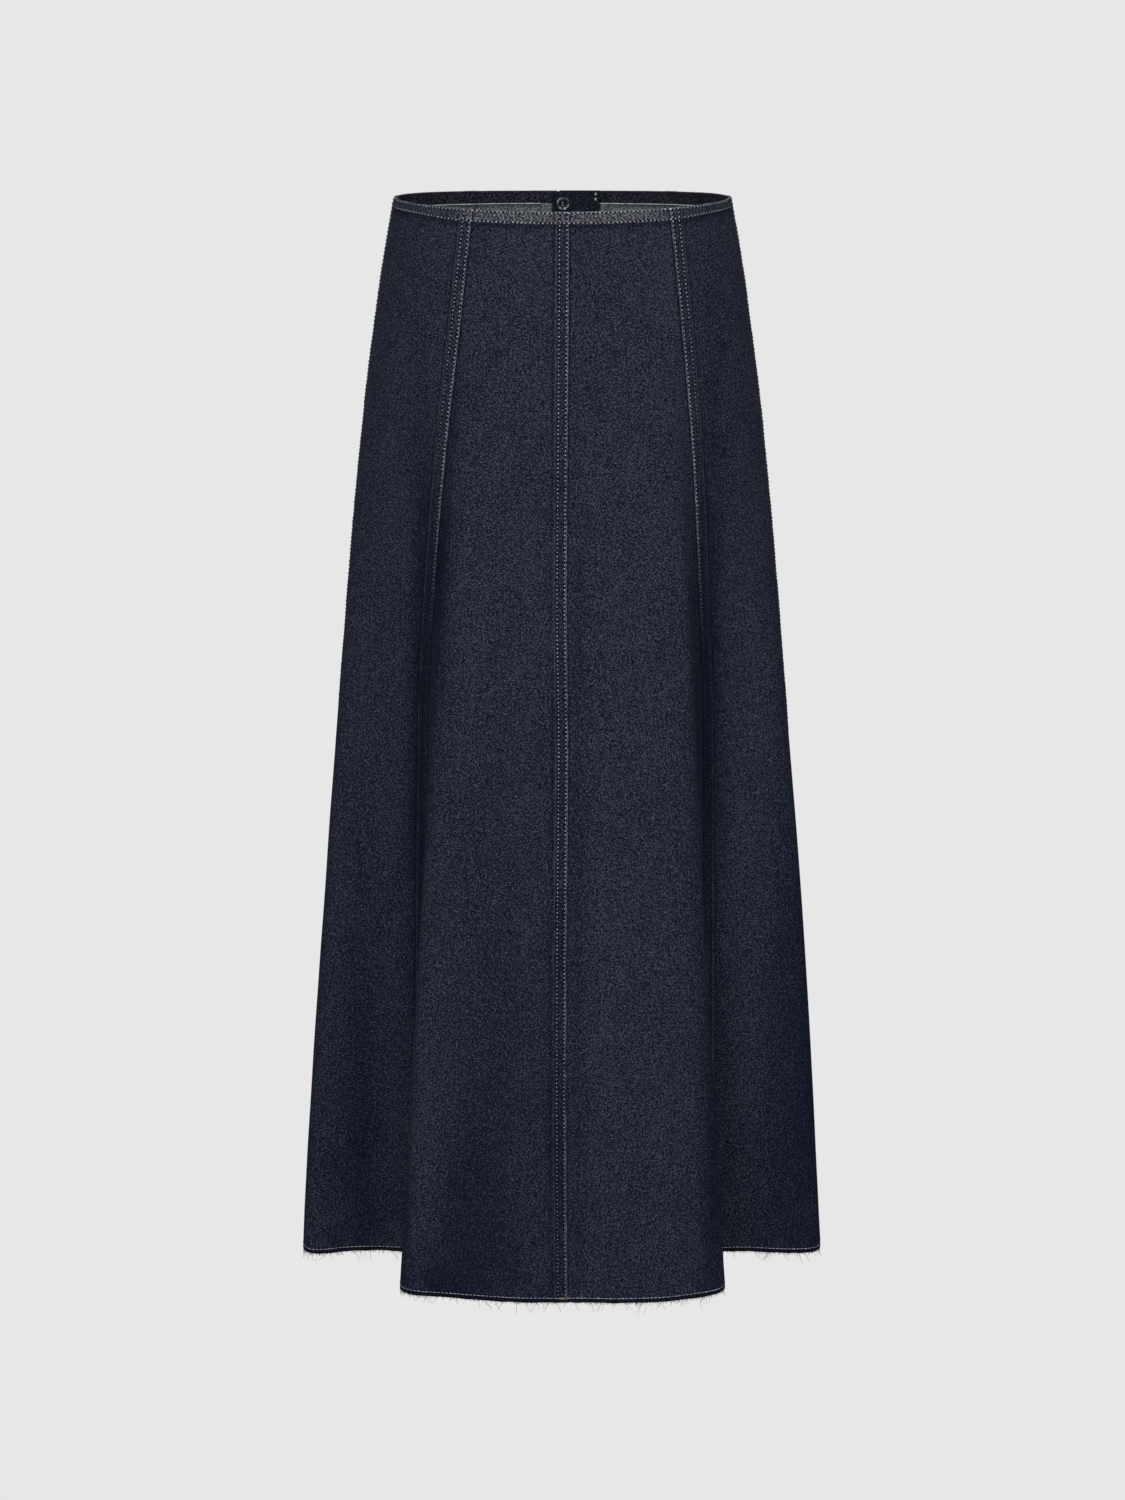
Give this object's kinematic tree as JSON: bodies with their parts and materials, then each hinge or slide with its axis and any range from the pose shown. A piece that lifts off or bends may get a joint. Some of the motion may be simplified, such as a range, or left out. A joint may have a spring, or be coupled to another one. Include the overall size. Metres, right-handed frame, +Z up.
{
  "type": "denim skirt",
  "caption": "Long flared skirt of dark indigo denim, cut in panels with felled seams, open at waist and raw fringed hem, back zip with pull tab, button on an inner zip guard.",
  "frame": {"origin": "centre of the waist opening, level with the top edge at the sides", "axes": "+Z up along the skirt, the front faces -Y, +X to the right of a viewer who faces the front"},
  "size_m": [0.4629, 0.3941, 0.9425],
  "materials": {
    "denim": "dark indigo twill with heathered slub, matt",
    "facing": "dark indigo twill, matt",
    "fray": "loose grey and indigo cotton threads",
    "zip_tape": "woven tape, matt",
    "zip_metal": "aged metal, satin",
    "button": "dark polished resin"
  },
  "bodies": {
    "skirt": {"centre_front_right": "denim", "side_front_right": "denim", "side_back_right": "denim", "centre_back_right": "denim", "centre_back_left": "denim", "side_back_left": "denim", "side_front_left": "denim", "centre_front_left": "denim", "facing_right": "facing", "facing_left": "facing", "zip_tape_left": "zip_tape", "zip_teeth_left": "zip_metal", "zip_tape_right": "zip_tape", "zip_teeth_right": "zip_metal", "zip_slider": "zip_metal", "zip_bottom_stop": "zip_metal", "zip_guard": "denim", "waist_button": "button", "fray_centre_front_right": "fray", "fray_side_front_right": "fray", "fray_side_back_right": "fray", "fray_centre_back_right": "fray", "fray_centre_back_left": "fray", "fray_side_back_left": "fray", "fray_side_front_left": "fray", "fray_centre_front_left": "fray"},
    "pull_tab": {"pull_tab": "zip_metal"}
  },
  "joints": [
    {"name": "pull_tab_hinge", "type": "hinge", "parent": "skirt", "child": "pull_tab", "pos_m": [0, 0.10104, -0.01447], "axis": [1, 0, 0], "range_deg": [0, 150]}
  ]
}
